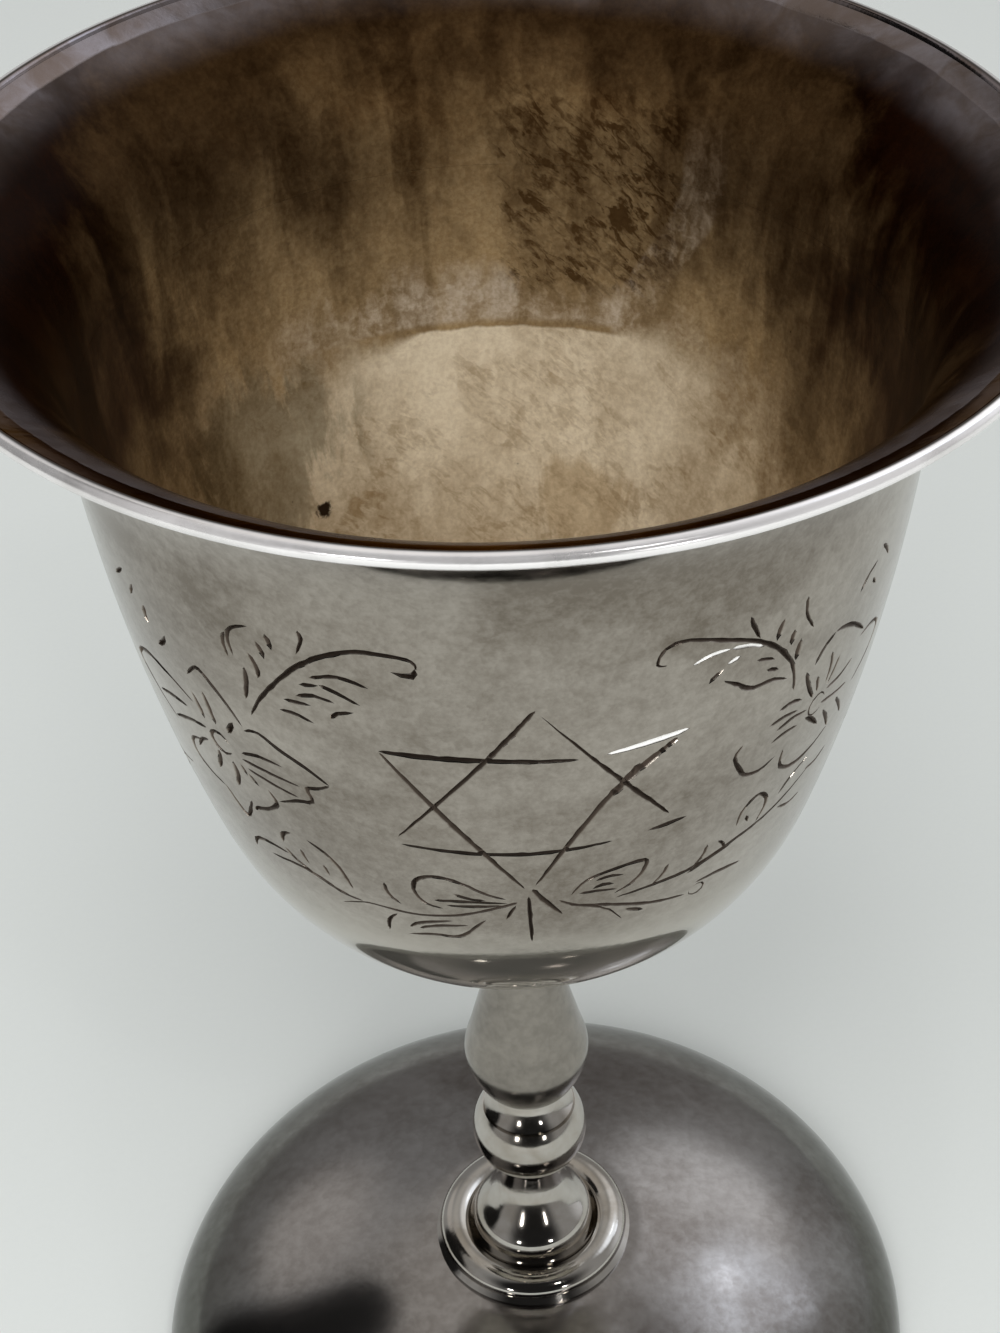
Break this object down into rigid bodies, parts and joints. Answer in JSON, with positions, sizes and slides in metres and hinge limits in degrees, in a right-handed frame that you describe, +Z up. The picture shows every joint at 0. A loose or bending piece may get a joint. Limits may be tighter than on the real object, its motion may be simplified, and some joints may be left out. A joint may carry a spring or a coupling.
{
  "type": "kiddush cup",
  "caption": "Silver kiddush goblet: bell-shaped bowl with everted lip, engraved star and sprays, turned stem with egg and ball, and hollow domed foot.",
  "frame": {"origin": "centre of the foot's underside, on the surface that the cup stands on", "axes": "+Z up along the cup's axis, the engraved star faces -Y"},
  "size_m": [0.0786, 0.0786, 0.132],
  "materials": {
    "engraved_silver": "satin silver with a light warm tarnish outside and a brown patina inside",
    "polished_silver": "bright turned silver, dark in its grooves",
    "tarnished_silver": "soft blotchy grey-brown tarnish over silver"
  },
  "bodies": {
    "root": {"bowl": "engraved_silver", "stem": "polished_silver", "foot": "tarnished_silver"}
  },
  "joints": []
}
